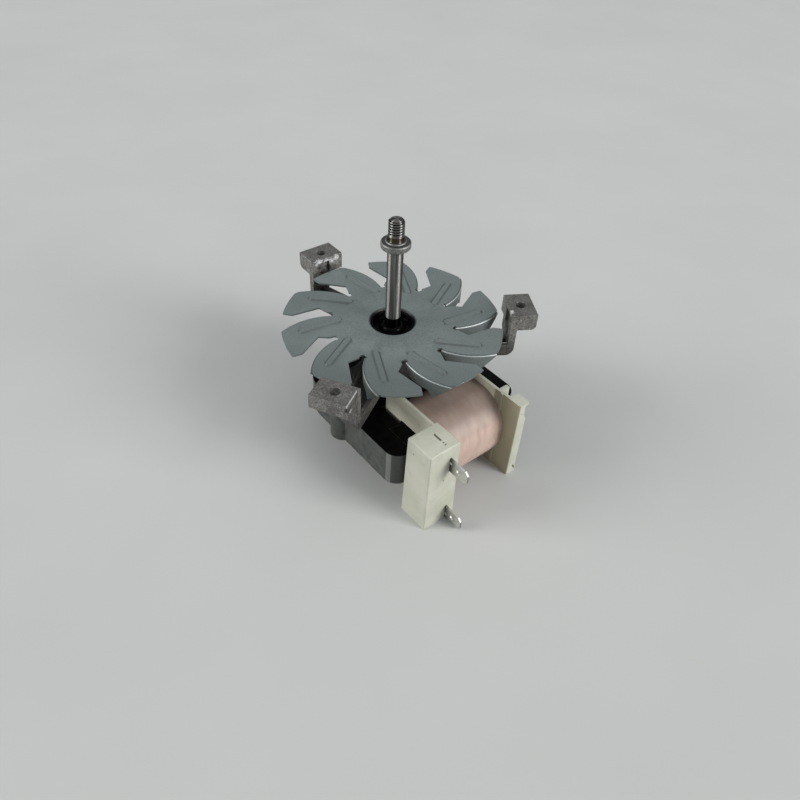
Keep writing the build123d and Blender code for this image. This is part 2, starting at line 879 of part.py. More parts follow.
def channel_block():
    """Upright block beside the right cheek: a wire channel open at the top and outside, behind a cored pillar."""
    inner = bobbin_half_length - channel_inset
    outer = bobbin_half_length + channel_overhang
    slot_back = channel_back - channel_post
    slot_front = slot_back - channel_slot
    beyond = outer + channel_wall
    body = block(inner, outer, block_front, channel_back, base, front_face)
    body = fillet(body.edges().filter_by(Axis.Z), block_round)
    body = body - block(inner + channel_wall, beyond, slot_front, slot_back, base + channel_wall, front_face + 1)
    body = body - block(
        inner + channel_wall,
        beyond,
        block_front + channel_wall,
        slot_front - channel_wall,
        base + channel_wall,
        front_face - beak_notch,
    )
    under = front_face - beak_thickness
    with BuildPart() as notch:
        with BuildSketch(Plane.XZ.offset(-(block_front + channel_wall))):
            with BuildLine():
                Polyline(
                    (beyond, under),
                    (inner + channel_wall, under),
                    (inner + channel_wall, under - notch_width),
                    (outer, under - beak_notch),
                    (beyond, under - beak_notch),
                    close=True,
                )
            make_face()
        extrude(amount=2 * channel_wall)
    slit = Pos(outer - channel_wall, block_front, base + 2 * notch_width) * Rot(Y=-25)
    slit = slit * Box(notch_width / 2, 2 * channel_wall, 2 * notch_width)
    rib_back = channel_back - channel_rib_inset
    rib = block(inner - channel_rib, inner + channel_rib, rib_back - 2 * channel_rib, rib_back, base, front_face)
    return body - notch.part - slit + rib


def bobbin():
    """One moulding: square tube, two cheeks, the terminal block and the channel block."""
    reach = bobbin_half_length + 1
    wall_y = tube_inside + tube_wall
    hole_z = stack_height / 2 + tube_clearance
    cheeks = []
    for x0, x1, front in (
        (-bobbin_half_length, -cheek_inner, block_back - cheek_thickness),
        (cheek_inner, bobbin_half_length, channel_back - cheek_thickness),
    ):
        cheek = block(x0, x1, front, cheek_back, base, front_face)
        cheeks.append(fillet(cheek.edges().filter_by(Axis.X).sort_by(Axis.Y)[-2:], cheek_round))
    around = winding_half_width + tape_thickness
    above = winding_half_height + tape_thickness
    room = tube_section(around, above, winding_round + tape_thickness, -cheek_inner, cheek_inner)
    tube = tube_section(wall_y, hole_z + tube_wall, 1.0, -cheek_inner, cheek_inner)
    solid = (terminal_block() - room) + (channel_block() - room) + cheeks + tube
    limb_room = block(
        -reach,
        reach,
        limb_centre - tube_inside,
        limb_centre + tube_inside,
        core_middle - hole_z,
        core_middle + hole_z,
    )
    return solid - limb_room - [tab_body(height) for height in tab_seats().values()]


def tab_body(height):
    """Spade terminal without its hole: tapered tip outside, plain tail inside the block."""
    x = tab_middle()
    half = tab_height / 2
    tip = block_front - tab_length
    points = [
        (block_front + tab_root, height - half),
        (block_front + tab_root, height + half),
        (tip + tab_taper, height + half),
        (tip, height + half - tab_taper),
        (tip, height - half + tab_taper),
        (tip + tab_taper, height - half),
    ]
    with BuildPart() as made:
        with BuildSketch(Plane.YZ.offset(x - tab_thickness / 2)):
            with BuildLine():
                Polyline(*points, close=True)
            make_face()
        extrude(amount=tab_thickness)
    return made.part


def terminal(height):
    y = block_front - 0.5 * tab_length
    hole = Pos(tab_middle(), y, height) * Rot(Y=90) * Cylinder(tab_hole_diameter / 2, 4 * tab_thickness)
    return tab_body(height) - hole


def main():
    os.makedirs("parts", exist_ok=True)
    pieces = {
        "front_bracket": front_bracket(),
        "rear_bracket": rear_bracket(),
        "front_bush": bearing_bush(),
        "rear_bush": about_middle(bearing_bush()),
        "front_oil_felt": oil_felt(),
        "rear_oil_felt": about_middle(oil_felt()),
        "front_bush_retainer": bush_retainer(),
        "rear_bush_retainer": about_middle(bush_retainer()),
        "left_bracket_screw": bracket_screw(-1),
        "right_bracket_screw": bracket_screw(1),
        "left_rear_screw": rear_screw(-1),
        "right_rear_screw": rear_screw(1),
        "stator_core": stator_core(),
        "coil_limb": coil_limb(),
        "right_shading_ring": shading_ring(0),
        "left_shading_ring": shading_ring(180),
        "bobbin": bobbin(),
        "coil_winding": coil_winding(),
        "coil_tape": coil_tape(),
        "upper_terminal": terminal(tab_seats()["upper"]),
        "lower_terminal": terminal(tab_seats()["lower"]),
        "shaft": shaft(),
        "shaft_collar": shaft_collar(),
        "rotor_core": rotor_core(),
        "rotor_cage": rotor_cage(),
        "front_thrust_washer": thrust_washer(1),
        "rear_thrust_washer": thrust_washer(-1),
        "fan_hub": fan_hub(),
        "cooling_fan": cooling_fan(),
    }
    for name, piece in pieces.items():
        export_step(piece, f"parts/{name}.step")


main()
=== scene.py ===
import math

import bpy
from mathutils import Matrix, Vector


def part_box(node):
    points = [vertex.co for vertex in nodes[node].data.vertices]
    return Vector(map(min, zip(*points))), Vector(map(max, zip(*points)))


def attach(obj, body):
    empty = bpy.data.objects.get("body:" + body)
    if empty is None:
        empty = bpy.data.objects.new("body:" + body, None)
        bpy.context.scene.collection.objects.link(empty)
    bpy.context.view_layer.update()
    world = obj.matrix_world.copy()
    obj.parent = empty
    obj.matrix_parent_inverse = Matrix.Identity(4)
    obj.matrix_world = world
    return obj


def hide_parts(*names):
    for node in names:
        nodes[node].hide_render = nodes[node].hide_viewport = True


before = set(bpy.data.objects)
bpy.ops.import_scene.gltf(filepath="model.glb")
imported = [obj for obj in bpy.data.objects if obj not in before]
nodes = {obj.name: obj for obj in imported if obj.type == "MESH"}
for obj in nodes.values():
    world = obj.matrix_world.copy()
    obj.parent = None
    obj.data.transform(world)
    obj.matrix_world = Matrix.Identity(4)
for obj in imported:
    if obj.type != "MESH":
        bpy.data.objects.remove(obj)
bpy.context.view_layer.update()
MM = 0.001

# Camera: angles in degrees, lengths in millimetres, focal length in the picture's pixels
PICTURE_WIDTH = 800
CAMERA_AZIMUTH = -40.91
CAMERA_ELEVATION = 43.08
CAMERA_ROLL = 3.3
CAMERA_DISTANCE = 276.29
CAMERA_TARGET = (-8.39, -16.85, -30.0)
CAMERA_FOCAL = 695
SENSOR_WIDTH = 36.0

# Lamps: azimuth and elevation in degrees, distance, width and height in metres, power in watts
LAMPS = (
    ("right_window", -64.0, 24.0, 9.6, 4.0, 6.8, 784.0),
    ("left_window", 148.0, 24.0, 9.6, 4.0, 6.8, 608.0),
    ("ceiling", 60.0, 80.0, 2.0, 1.6, 1.6, 5.0),
)
WORLD_COLOR = (0.92, 0.96, 1.0, 1.0)
WORLD_STRENGTH = 0.375
FLOOR_LEVEL = -54.4
FLOOR_HALF = 3.0

# Places on the castings that are smoother and painted bright as highlights: x, y, z and radius, in
# millimetres
POLISH_AND_GLINT_SPOTS = (
    (-6.7, 44.5, -0.6, 1.8),
    (-3.4, 46.0, -1.2, 2.2),
    (0.4, 46.0, -1.6, 2.0),
    (3.0, 46.0, -2.0, 1.5),
    (5.3, 46.0, -1.2, 1.9),
    (37.3, -27.5, -0.4, 1.7),
    (-43.6, -33.1, -3.5, 1.4),
    (-45.1, -35.2, -7.0, 1.6),
)

# Places on the castings darkened as painted shade, in the legs' recesses and gaps
RECESS_SHADE_SPOTS = (
    (-2.4, 46.0, -4.6, 2.2),
    (1.2, 46.0, -5.0, 2.2),
    (-1.0, 46.0, -7.0, 2.6),
    (35.8, -27.5, -3.0, 2.2),
    (34.3, -28.7, -5.0, 2.2),
    (32.8, -30.0, -7.0, 2.2),
    (31.4, -31.0, -9.0, 2.2),
    (-45.6, -33.6, -1.8, 1.4),
)

# Two ends, in plan, of the left lug's edge, painted bright as a highlight with painted shade beyond it
LUG_EDGE_LINE = ((-38.7, -29.2), (-45.9, -33.5))

# Dimples near the roots of the terminals, painted bright as glints
BLADE_GLINTS = ((-18.6, -57.9, -24.0, 1.0), (-18.6, -58.7, -51.8, 1.0))

# The shaft's skin, in millimetres; the plain rings keep its shading straight between its steps
SKIN_SIDES = 72
PLAIN_RINGS = (0.0, 20.0, 28.0)
FOOT_CHAMFER = 0.5
TIP_CHAMFER = 0.8
NECK_LOW = 31.1
NECK_RADIUS = 2.7
THREAD_LOW = 33.0
THREAD_PITCH = 1.0
THREAD_DEPTH = 0.6
THREAD_STEPS = 10
CREST_HALF = 0.07
FLANK_RUN = 0.36
THREAD_RUN_IN = 0.4


# Camera


def place_camera():
    """Camera at the photograph's angle; the picture is taken as 800 by 800."""
    azimuth = math.radians(CAMERA_AZIMUTH)
    elevation = math.radians(CAMERA_ELEVATION)
    roll = math.radians(CAMERA_ROLL)
    target = Vector(CAMERA_TARGET) * MM
    right = Vector((math.cos(azimuth), math.sin(azimuth), 0.0))
    away = Vector((-math.sin(azimuth), math.cos(azimuth), 0.0))
    back = Vector((0, 0, 1)) * math.sin(elevation) - away * math.cos(elevation)
    up = back.cross(right)
    rolled_right = right * math.cos(roll) + up * math.sin(roll)
    rolled_up = up * math.cos(roll) - right * math.sin(roll)
    turn = Matrix((rolled_right, rolled_up, back)).transposed().to_4x4()
    data = bpy.data.cameras.new("camera")
    data.sensor_width = SENSOR_WIDTH
    data.lens = CAMERA_FOCAL * SENSOR_WIDTH / PICTURE_WIDTH
    data.clip_start = 0.01
    camera = bpy.data.objects.new("camera", data)
    camera.matrix_world = Matrix.Translation(target + back * CAMERA_DISTANCE * MM) @ turn
    bpy.context.scene.collection.objects.link(camera)
    bpy.context.scene.camera = camera


# Node helpers for the materials


class Shade:
    """A material under construction."""

    def __init__(self, name, metallic=0.0, roughness=0.5):
        self.material = bpy.data.materials.new(name)
        self.material.use_nodes = True
        self.tree = self.material.node_tree
        self.shader = self.tree.nodes["Principled BSDF"]
        self.set("Metallic", metallic)
        self.set("Roughness", roughness)
        self.last_normal = None

    def set(self, socket, value):
        self.shader.inputs[socket].default_value = value

    def node(self, kind, **values):
        made = self.tree.nodes.new(kind)
        for key, value in values.items():
            setattr(made, key, value)
        return made

    def link(self, source, target):
        self.tree.links.new(source, target)

    def place(self, stretch=(1.0, 1.0, 1.0)):
        """Coordinates in millimetres on the piece itself, stretched along its axes."""
        coordinates = self.node("ShaderNodeTexCoord")
        mapping = self.node("ShaderNodeMapping")
        mapping.inputs["Scale"].default_value = [s / MM for s in stretch]
        self.link(coordinates.outputs["Object"], mapping.inputs["Vector"])
        return mapping.outputs["Vector"]

    def noise(self, scale, detail=3.0, roughness=0.55, stretch=(1.0, 1.0, 1.0)):
        made = self.node("ShaderNodeTexNoise")
        made.inputs["Scale"].default_value = scale
        made.inputs["Detail"].default_value = detail
        made.inputs["Roughness"].default_value = roughness
        self.link(self.place(stretch), made.inputs["Vector"])
        return made.outputs["Fac"]

    def cells(self, scale):
        made = self.node("ShaderNodeTexVoronoi")
        made.inputs["Scale"].default_value = scale
        self.link(self.place(), made.inputs["Vector"])
        return made

    def wave(self, scale, axis, distortion=0.0):
        made = self.node("ShaderNodeTexWave", bands_direction=axis)
        made.inputs["Scale"].default_value = scale
        made.inputs["Distortion"].default_value = distortion
        made.inputs["Detail"].default_value = 1.0
        self.link(self.place(), made.inputs["Vector"])
        return made.outputs["Fac"]

    def math(self, kind, first, second=0.0):
        made = self.node("ShaderNodeMath", operation=kind)
        for value, socket in ((first, made.inputs[0]), (second, made.inputs[1])):
            if isinstance(value, (int, float)):
                socket.default_value = value
            else:
                self.link(value, socket)
        return made.outputs[0]

    def times(self, first, second):
        return self.math("MULTIPLY", first, second)

    def span(self, source, low, high, to_low=0.0, to_high=1.0):
        """The source's run from low to high, moved to another run and held at its ends."""
        made = self.node("ShaderNodeMapRange", clamp=True)
        self.link(source, made.inputs["Value"])
        made.inputs["From Min"].default_value = low
        made.inputs["From Max"].default_value = high
        made.inputs["To Min"].default_value = to_low
        made.inputs["To Max"].default_value = to_high
        return made.outputs["Result"]

    def between(self, source, low, high, blur):
        """1 where the source lies between low and high, with soft ends."""
        rising = self.span(source, low - blur, low)
        return self.times(rising, self.span(source, high + blur, high))

    def along(self, axis):
        """One of the piece's own coordinates, in millimetres."""
        split = self.node("ShaderNodeSeparateXYZ")
        self.link(self.place(), split.inputs["Vector"])
        return split.outputs[axis]

    def facing(self, axis):
        """How much the surface faces along one axis of the piece, from -1 to 1."""
        coordinates = self.node("ShaderNodeTexCoord")
        split = self.node("ShaderNodeSeparateXYZ")
        self.link(coordinates.outputs["Normal"], split.inputs["Vector"])
        return split.outputs[axis]

    def from_axis(self):
        """Distance from the shaft's axis, in millimetres."""
        x = self.along("X")
        y = self.along("Y")
        return self.math("SQRT", self.math("ADD", self.times(x, x), self.times(y, y)))

    def spots(self, places, uneven):
        """1 inside the spots, each a centre and a radius in millimetres, with broken edges."""
        total = 0.0
        for x, y, z, radius in places:
            apart = self.node("ShaderNodeVectorMath", operation="DISTANCE")
            self.link(self.place(), apart.inputs[0])
            apart.inputs[1].default_value = (x, y, z)
            broken = self.span(uneven, 0.3, 0.7, 0.0, 0.8 * radius)
            ragged = self.math("ADD", apart.outputs["Value"], broken)
            spot = self.span(ragged, 0.9 * radius, 1.2 * radius, 1.0, 0.0)
            total = self.math("MAXIMUM", spot, total)
        return total

    def beside(self, start, end):
        """Distance in plan from a straight line, in millimetres, and a mask of the line's length."""
        run = Vector(end) - Vector(start)
        across = Vector((-run.y, run.x)).normalized()
        x = self.along("X")
        east = self.times(self.math("SUBTRACT", x, start[0]), across.x)
        north = self.times(self.math("SUBTRACT", self.along("Y"), start[1]), across.y)
        return self.math("ADD", east, north), self.between(x, end[0], start[0], 0.3)

    def mix(self, factor, first, second):
        """Mix of two colours, each a colour or a socket."""
        made = self.node("ShaderNodeMix", data_type="RGBA")
        self.link(factor, made.inputs["Factor"])
        for value, socket in ((first, made.inputs[6]), (second, made.inputs[7])):
            if isinstance(value, tuple):
                socket.default_value = (*value, 1.0)
            else:
                self.link(value, socket)
        return made.outputs[2]

    def blend(self, source, low, high, first, second):
        """From the first colour to the second as the source runs from low to high."""
        return self.mix(self.span(source, low, high), first, second)

    def tint(self, tone, color, mask, amount=1.0):
        """The tone with a colour laid over it by the mask, as strongly as the amount says."""
        return self.mix(self.times(mask, amount), tone, color)

    def color(self, socket):
        self.link(socket, self.shader.inputs["Base Color"])

    def rough(self, source, low, high, to_low, to_high):
        self.link(self.span(source, low, high, to_low, to_high), self.shader.inputs["Roughness"])

    def ground_rings(self, amount):
        """Draws reflections out along the axis, as the fine rings of grinding do."""
        self.set("Anisotropic", amount)
        self.set("Anisotropic Rotation", 0.25)
        around = self.node("ShaderNodeTangent", direction_type="RADIAL", axis="Z")
        self.link(around.outputs["Tangent"], self.shader.inputs["Tangent"])

    def bump(self, height, distance, strength=1.0):
        """Height is 0 to 1, distance in millimetres."""
        made = self.node("ShaderNodeBump")
        made.inputs["Strength"].default_value = strength
        made.inputs["Distance"].default_value = distance * MM
        self.link(height, made.inputs["Height"])
        if self.last_normal is not None:
            self.link(self.last_normal, made.inputs["Normal"])
        self.last_normal = made.outputs["Normal"]
        self.link(self.last_normal, self.shader.inputs["Normal"])


# Materials


def galvanised_sheet():
    """Zinc-coated sheet: blue-grey and speckled, with small dull marks; painted highlights on the folds
    and painted shade on the rib slopes, the upright faces, the front left and round the hub hole.
    """
    shade = Shade("galvanised_sheet", 0.7)
    patch = shade.noise(0.12, 4.0)
    tone = shade.blend(patch, 0.35, 0.65, (0.165, 0.2, 0.196), (0.2, 0.235, 0.23))
    speckle = shade.span(shade.noise(2.2, 4.0, 0.7), 0.35, 0.65)
    tone = shade.tint(tone, (0.285, 0.32, 0.312), speckle)
    marks = shade.span(shade.noise(0.5, 5.0, 0.7), 0.6, 0.74)
    tone = shade.tint(tone, (0.14, 0.15, 0.14), marks, 0.5)
    # Painted shade: the sheet darkens towards the front left, where x plus y is low
    near_shade = shade.span(shade.math("ADD", shade.along("X"), shade.along("Y")), -25.0, -50.0)
    tone = shade.tint(tone, (0.12, 0.145, 0.142), near_shade, 0.45)
    lie = shade.facing("Z")
    # Colour of the painted shade on the rib slopes and the upright faces
    dark = (0.06, 0.068, 0.065)
    # Painted shade on the rib slopes, which lean a little from flat
    tone = shade.tint(tone, dark, shade.between(lie, 0.6, 0.94, 0.04), 0.6)
    # Painted highlight on the folds, whose faces lean further over
    tone = shade.tint(tone, (0.75, 0.79, 0.78), shade.between(lie, 0.32, 0.5, 0.05), 0.8)
    # Painted shade on the upright faces and cut edges
    tone = shade.tint(tone, dark, shade.span(lie, 0.3, 0.2), 0.15)
    # Painted shade on the flange round the hub hole
    flange_shade = shade.span(shade.from_axis(), 9.2, 8.8)
    shade.color(shade.tint(tone, (0.03, 0.033, 0.032), flange_shade))
    spangle = shade.span(shade.cells(0.5).outputs["Color"], 0.1, 0.9)
    shade.rough(spangle, 0.0, 1.0, 0.46, 0.58)
    shade.bump(speckle, 0.03)
    return shade.material


def bright_edge():
    """Cut or rubbed metal on the edges of the sheet and the castings, darkened round the fan's middle as
    painted shade in the hub hole.
    """
    shade = Shade("bright_edge", 1.0, 0.28)
    bright = shade.blend(shade.noise(1.2), 0.35, 0.7, (0.6, 0.62, 0.62), (0.82, 0.84, 0.84))
    # Painted shade: the edges round the hub hole are darkened
    middle_shade = shade.span(shade.from_axis(), 13.0, 11.5)
    shade.color(shade.tint(bright, (0.16, 0.18, 0.175), middle_shade))
    shade.bump(shade.noise(5.0, 2.0), 0.01)
    return shade.material


def cast_metal():
    """Die-cast aluminium: dull grey and pitted; painted shade under the fan, on the upward faces, in the
    legs' recesses and beside the left lug's edge; spots and a line painted bright as highlights, which
    are also smoother.
    """
    shade = Shade("cast_metal", 0.7)
    grain = shade.noise(1.3, 5.0, 0.7)
    broad = shade.noise(0.2, 3.0)
    tone = shade.blend(broad, 0.35, 0.65, (0.175, 0.168, 0.157), (0.305, 0.297, 0.283))
    tone = shade.tint(tone, (0.05, 0.047, 0.043), shade.span(grain, 0.5, 0.66), 0.8)
    tone = shade.tint(tone, (0.55, 0.54, 0.52), shade.span(grain, 0.46, 0.34), 0.65)
    height = shade.along("Z")
    # Painted shade under the fan: darker below the lugs' tops
    tone = shade.tint(tone, (0.06, 0.057, 0.053), shade.span(height, -10.0, -16.0), 0.7)
    # Painted shade on the faces that look up
    tone = shade.tint(tone, (0.09, 0.086, 0.08), shade.span(shade.facing("Z"), 0.5, 0.9), 0.4)
    # Painted shade in the legs' recesses and gaps
    tone = shade.tint(tone, (0.012, 0.012, 0.012), shade.spots(RECESS_SHADE_SPOTS, grain), 0.85)
    apart, length = shade.beside(*LUG_EDGE_LINE)
    # Painted shade on the side face beyond the left lug's edge
    shaded_side = shade.times(shade.between(apart, 0.4, 5.0, 0.2), length)
    tone = shade.tint(tone, (0.05, 0.048, 0.045), shaded_side, 0.5)
    # Painted highlight along the left lug's edge and at the glint spots, which are also smoother
    edge_glint = shade.times(shade.between(apart, -0.15, 0.15, 0.15), length)
    edge_glint = shade.times(edge_glint, shade.span(height, -0.7, -0.4, 0.0, 0.7))
    polish_and_glint = shade.math("MAXIMUM", shade.spots(POLISH_AND_GLINT_SPOTS, grain), edge_glint)
    shade.color(shade.tint(tone, (0.9, 0.9, 0.88), polish_and_glint))
    shade.rough(polish_and_glint, 0.0, 1.0, 0.5, 0.22)
    shade.bump(grain, 0.22)
    shade.bump(shade.noise(0.45, 3.0), 0.6, 0.8)
    return shade.material


def dark_steel():
    """Pressed ring of grey steel, a little oily, with painted shade on its top."""
    shade = Shade("dark_steel", 1.0)
    mottle = shade.noise(1.2, 4.0, 0.65)
    tone = shade.blend(mottle, 0.35, 0.7, (0.17, 0.17, 0.16), (0.34, 0.34, 0.325))
    # Painted shade on the faces that look up
    top = shade.span(shade.facing("Z"), 0.8, 0.95)
    shade.color(shade.tint(tone, (0.06, 0.06, 0.055), top, 0.75))
    shade.rough(mottle, 0.3, 0.7, 0.46, 0.6)
    shade.bump(mottle, 0.03)
    return shade.material


def turned_steel():
    """Drawn shaft: fine dark streaks along it, a brownish neck, thread grooves darkened to near black
    and a black foot.
    """
    shade = Shade("turned_steel", 1.0, 0.4)
    streak = shade.noise(1.0, 3.0, 0.6, (2.5, 2.5, 0.03))
    tone = shade.blend(streak, 0.4, 0.6, (0.16, 0.152, 0.137), (0.35, 0.35, 0.342))
    height = shade.along("Z")
    tone = shade.tint(tone, (0.13, 0.117, 0.083), shade.span(height, 30.8, 31.1))
    tip = shade.span(height, 38.9, 39.0, 0.0, 0.6)
    # The thread's grooves go near black, its crests and tip grey
    crest = shade.math("MAXIMUM", shade.span(shade.from_axis(), 2.5, 2.9), tip)
    thread_tone = shade.mix(crest, (0.005, 0.005, 0.005), (0.33, 0.322, 0.31))
    tone = shade.tint(tone, thread_tone, shade.span(height, 32.7, 33.0))
    shade.color(shade.tint(tone, (0.002, 0.002, 0.002), shade.span(height, -1.9, -2.1)))
    shade.set("Specular Tint", (0.25, 0.25, 0.25, 1.0))
    shade.ground_rings(1.0)
    return shade.material


def core_plates():
    """Stacked electrical sheet: black oxide on the flat faces, made darker still as painted shade; fine
    sheet lines on the sides, with a painted highlight and painted shade on the front left corners.
    """
    shade = Shade("core_plates", 0.7)
    shade.set("Specular IOR Level", 0.15)
    shade.ground_rings(0.5)
    mottle = shade.noise(0.35, 4.0)
    side = shade.blend(mottle, 0.3, 0.7, (0.08, 0.085, 0.081), (0.138, 0.143, 0.135))
    lines = shade.wave(0.628, "Z")
    side = shade.tint(side, (0.06, 0.06, 0.058), shade.span(lines, 0.0, 0.35, 1.0, 0.0), 0.5)
    west = shade.facing("X")
    # Painted highlight on the front left corners, with painted shade just past it
    corner = shade.span(shade.along("Y"), -14.0, -16.0, 0.0, 0.5)
    corner_highlight = shade.between(west, -0.985, -0.88, 0.01)
    side = shade.tint(side, (0.36, 0.37, 0.35), corner_highlight, corner)
    shadow = shade.between(west, -0.83, -0.2, 0.03)
    side = shade.tint(side, (0.08, 0.082, 0.08), shadow, corner)
    # Black oxide, made darker still as painted shade under the fan
    flat = shade.blend(mottle, 0.3, 0.7, (0.002, 0.002, 0.002), (0.007, 0.0075, 0.007))
    lying = shade.math("ABSOLUTE", shade.facing("Z"))
    shade.color(shade.blend(lying, 0.6, 0.9, side, flat))
    shade.rough(mottle, 0.3, 0.7, 0.36, 0.55)
    shade.bump(lines, 0.03, 0.5)
    shade.bump(shade.noise(1.5, 3.0), 0.02)
    return shade.material


def cream_moulding():
    """Greenish cream plastic with soft mottling, specks and a fine moulded skin; painted shade on the
    right cheek's inner face and painted light on the left cheek's outer face.
    """
    shade = Shade("cream_moulding")
    broad = shade.noise(0.12, 3.0)
    tone = shade.blend(broad, 0.35, 0.65, (0.47, 0.475, 0.385), (0.54, 0.54, 0.45))
    grime = shade.span(shade.noise(0.7, 5.0, 0.7), 0.56, 0.74)
    tone = shade.tint(tone, (0.36, 0.35, 0.26), grime, 0.4)
    west = shade.facing("X")
    # Painted shade on the right cheek's inner face, beside the coil
    inside_right_shade = shade.times(shade.span(shade.along("X"), 13.0, 15.0), shade.span(west, -0.2, -0.7))
    tone = shade.tint(tone, (0.34, 0.3, 0.19), inside_right_shade, 0.8)
    # Painted light on the left cheek's outer face, between the core and the terminal block
    left_cheek_light = shade.times(shade.span(shade.along("Y"), -44.5, -43.5), shade.span(west, -0.5, -0.8))
    tone = shade.tint(tone, (0.85, 0.82, 0.66), left_cheek_light, 0.85)
    speck = shade.span(shade.cells(0.11).outputs["Distance"], 0.03, 0.045, 1.0, 0.0)
    shade.color(shade.tint(tone, (0.05, 0.045, 0.03), speck, 0.8))
    shade.set("Subsurface Weight", 0.08)
    shade.set("Subsurface Radius", (0.8 * MM, 0.8 * MM, 0.6 * MM))
    shade.rough(shade.noise(0.9, 3.0), 0.3, 0.7, 0.34, 0.48)
    shade.bump(shade.noise(3.0, 3.0), 0.015)
    return shade.material


def pink_tape():
    """Thin pinkish film drawn over the turns of wire, which show as fine bands, with painted shade on
    its top and left side.
    """
    shade = Shade("pink_tape", 0.0, 0.42)
    turns = shade.wave(0.9, "X", 0.4)
    uneven = shade.noise(0.35, 3.0, 0.6, (1.0, 0.3, 0.3))
    tone = shade.blend(uneven, 0.35, 0.65, (0.505, 0.365, 0.3), (0.625, 0.475, 0.4))
    tone = shade.tint(tone, (0.4, 0.26, 0.21), shade.span(turns, 0.0, 0.5, 1.0, 0.0), 0.45)
    # Painted shade on the top and the left side
    top = shade.span(shade.facing("Z"), 0.3, 0.8)
    left = shade.span(shade.facing("X"), -0.2, -0.7)
    shade.color(shade.tint(tone, (0.15, 0.11, 0.085), shade.math("MAXIMUM", top, left), 0.6))
    shade.set("Coat Weight", 0.15)
    shade.set("Coat Roughness", 0.3)
    shade.bump(turns, 0.06, 0.5)
    shade.bump(uneven, 0.15, 0.6)
    return shade.material


def copper():
    """Enamelled wire and bare copper, a little mottled."""
    shade = Shade("copper", 0.9, 0.35)
    shade.color(shade.blend(shade.noise(0.8), 0.35, 0.7, (0.5, 0.22, 0.12), (0.7, 0.34, 0.2)))
    shade.bump(shade.wave(1.2, "X", 0.2), 0.05, 0.4)
    return shade.material


def bronze():
    """Sintered bronze with a fine open grain."""
    shade = Shade("sintered_bronze", 0.9, 0.45)
    grain = shade.noise(4.0, 4.0)
    shade.color(shade.blend(grain, 0.4, 0.65, (0.3, 0.21, 0.11), (0.5, 0.37, 0.2)))
    shade.bump(grain, 0.03)
    return shade.material


def felt():
    """Oiled felt with short fibres."""
    shade = Shade("oiled_felt", 0.0, 0.95)
    fibre = shade.noise(2.5, 6.0, 0.75)
    shade.color(shade.blend(fibre, 0.35, 0.65, (0.3, 0.26, 0.18), (0.48, 0.43, 0.33)))
    shade.bump(fibre, 0.3)
    return shade.material


def tinned_blade():
    """Tinned brass: soft scratches along the blade, grime at its root, dimples painted bright as glints
    and painted shade on the tip's end faces.
    """
    shade = Shade("tinned_blade", 1.0)
    scratch = shade.noise(0.8, 4.0, 0.65, (6.0, 0.5, 6.0))
    tone = shade.blend(scratch, 0.35, 0.7, (0.5, 0.5, 0.46), (0.85, 0.85, 0.82))
    reach = shade.along("Y")
    grime = shade.times(shade.span(reach, -60.5, -58.0), shade.span(scratch, 0.3, 0.45, 0.4, 0.9))
    tone = shade.tint(tone, (0.04, 0.038, 0.03), grime)
    # Painted shade on the tip's end faces
    tip = shade.times(shade.span(reach, -64.6, -65.2), shade.span(shade.facing("Y"), -0.2, -0.5))
    tone = shade.tint(tone, (0.2, 0.2, 0.185), tip, 0.75)
    # Painted highlights: glints on the dimples
    shade.color(shade.tint(tone, (0.95, 0.95, 0.93), shade.spots(BLADE_GLINTS, scratch)))
    shade.rough(scratch, 0.3, 0.7, 0.4, 0.52)
    shade.bump(scratch, 0.02)
    return shade.material


def plated_steel():
    """Zinc-plated screws and retainers."""
    shade = Shade("plated_steel", 1.0)
    mottle = shade.noise(1.0, 3.0)
    shade.color(shade.blend(mottle, 0.35, 0.65, (0.44, 0.44, 0.41), (0.62, 0.62, 0.6)))
    shade.rough(mottle, 0.3, 0.7, 0.24, 0.42)
    shade.bump(mottle, 0.02)
    return shade.material


def black_plastic():
    """Smooth black moulding that gives back very little light."""
    shade = Shade("black_plastic")
    fine = shade.noise(1.4, 3.0)
    shade.color(shade.blend(fine, 0.3, 0.7, (0.002, 0.002, 0.002), (0.004, 0.004, 0.004)))
    shade.set("Specular IOR Level", 0.03)
    shade.rough(fine, 0.3, 0.7, 0.1, 0.2)
    shade.bump(fine, 0.01)
    return shade.material


def dark_washer():
    """Matt dark plastic."""
    shade = Shade("dark_washer", 0.0, 0.6)
    fine = shade.noise(2.0, 3.0)
    shade.color(shade.blend(fine, 0.3, 0.7, (0.035, 0.035, 0.035), (0.07, 0.07, 0.07)))
    shade.bump(fine, 0.02)
    return shade.material


def studio_floor():
    """Pale matt floor with a faint unevenness."""
    shade = Shade("floor", 0.0, 0.7)
    shade.set("Specular IOR Level", 0.1)
    tone = shade.noise(0.01, 3.0)
    shade.color(shade.blend(tone, 0.3, 0.7, (0.52, 0.525, 0.51), (0.545, 0.55, 0.535)))
    return shade.material


# Dressing of the solids


